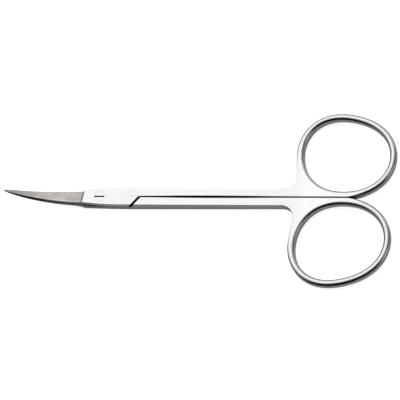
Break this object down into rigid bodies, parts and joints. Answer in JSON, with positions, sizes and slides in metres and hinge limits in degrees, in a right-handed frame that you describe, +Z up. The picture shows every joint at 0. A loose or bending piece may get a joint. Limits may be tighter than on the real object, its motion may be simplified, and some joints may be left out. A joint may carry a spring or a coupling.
{
  "type": "dissecting scissors",
  "caption": "Fine dissecting scissors with curved pointed blades, long slim shanks, finger rings and a flush slotted pivot screw.",
  "frame": {"origin": "centre of the pivot on the rear half's back, which is the surface the scissors lie on", "axes": "+X from the pivot along the closed shanks to the finger rings, blades toward -X and curving up, +Z up out of the table along the pivot, the front half's ring on the +Y side"},
  "size_m": [0.1142, 0.052, 0.0084],
  "materials": {
    "forged_steel": "satin, with finely ground blades and bright edges",
    "screw_steel": "fine satin, flush with the joint"
  },
  "bodies": {
    "rear": {"rear_half": "forged_steel", "pivot_screw": "screw_steel"},
    "front": {"front_half": "forged_steel"}
  },
  "joints": [
    {"name": "pivot", "type": "hinge", "parent": "rear", "child": "front", "pos_m": [0, 0, 0.0017], "axis": [0, 0, 1], "range_deg": [0, 140]}
  ]
}
